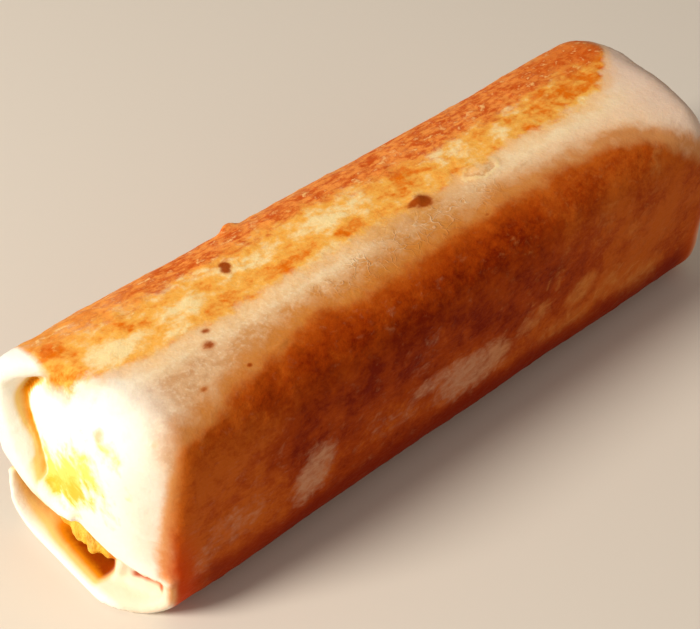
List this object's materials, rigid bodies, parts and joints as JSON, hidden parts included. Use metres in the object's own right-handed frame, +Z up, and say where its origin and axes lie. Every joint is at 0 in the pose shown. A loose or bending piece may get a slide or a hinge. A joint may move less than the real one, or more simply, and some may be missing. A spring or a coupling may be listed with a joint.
{
  "type": "breakfast burrito",
  "caption": "A toasted breakfast burrito lying on its side: a browned flour tortilla rolled round scrambled egg, tucked in at both ends and gaping open at one of them",
  "frame": {"origin": "middle of the footprint, on the surface that the burrito rests on", "axes": "X runs along the roll from the gaping end to the closed end, Y runs across it towards the less browned side, and Z is up"},
  "size_m": [0.1808, 0.0526, 0.0507],
  "materials": {
    "tortilla": "dry toasted flour tortilla, pale cream mottled with golden and darker brown",
    "egg": "moist soft scrambled egg"
  },
  "bodies": {
    "root": {"tortilla": "tortilla", "filling": "egg"}
  },
  "joints": []
}
